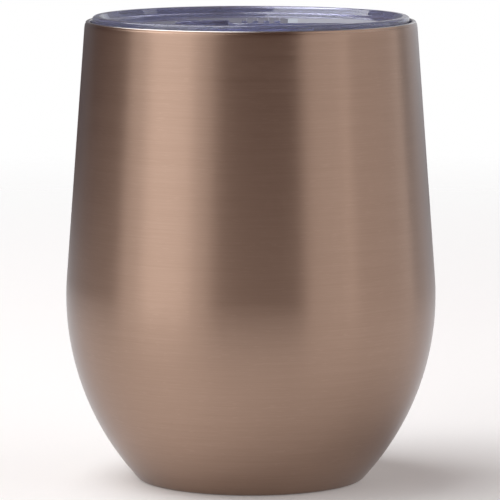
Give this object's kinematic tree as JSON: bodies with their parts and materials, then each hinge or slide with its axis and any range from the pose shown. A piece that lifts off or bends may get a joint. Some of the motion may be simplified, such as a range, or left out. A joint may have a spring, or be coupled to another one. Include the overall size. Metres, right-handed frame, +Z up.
{
  "type": "insulated tumbler",
  "caption": "Stemless double-wall vacuum tumbler with a rounded belly, narrower mouth, and a clear press-in lid with a slide closure over its drinking opening.",
  "frame": {"origin": "centre of the foot ring, on the plane the tumbler stands on", "axes": "+Z up along the cup's axis; +X from the axis to the drinking opening; the slider opens towards -X"},
  "size_m": [0.0888, 0.0888, 0.1117],
  "materials": {
    "coated_steel": "brushed round the cup, copper-brown lacquer",
    "bare_steel": "brushed",
    "copper_foil": "bright copper layer",
    "sealing_glass": "fused glass bead",
    "getter_alloy": "sintered, matt",
    "clear_plastic": "clear, faintly violet, moulded and glossy",
    "silicone": "translucent, satin"
  },
  "bodies": {
    "cup": {"outer_shell": "coated_steel", "inner_liner": "bare_steel", "liner_bottom": "bare_steel", "copper_wrap": "copper_foil", "copper_pan": "copper_foil", "outer_bottom": "bare_steel", "vacuum_seal_bead": "sealing_glass", "base_disc": "bare_steel", "getter_cup": "bare_steel", "getter_pill": "getter_alloy"},
    "lid": {"lid": "clear_plastic", "lid_gasket": "silicone"},
    "slider": {"slider": "clear_plastic", "slider_seal": "silicone", "slider_retainer": "clear_plastic"}
  },
  "joints": [
    {"name": "lid_lift", "type": "slide", "parent": "cup", "child": "lid", "axis": [0, 0, 1], "range_m": [0, 0.09]},
    {"name": "slider_slide", "type": "slide", "parent": "lid", "child": "slider", "axis": [-1, 0, 0], "range_m": [0, 0.012]}
  ]
}
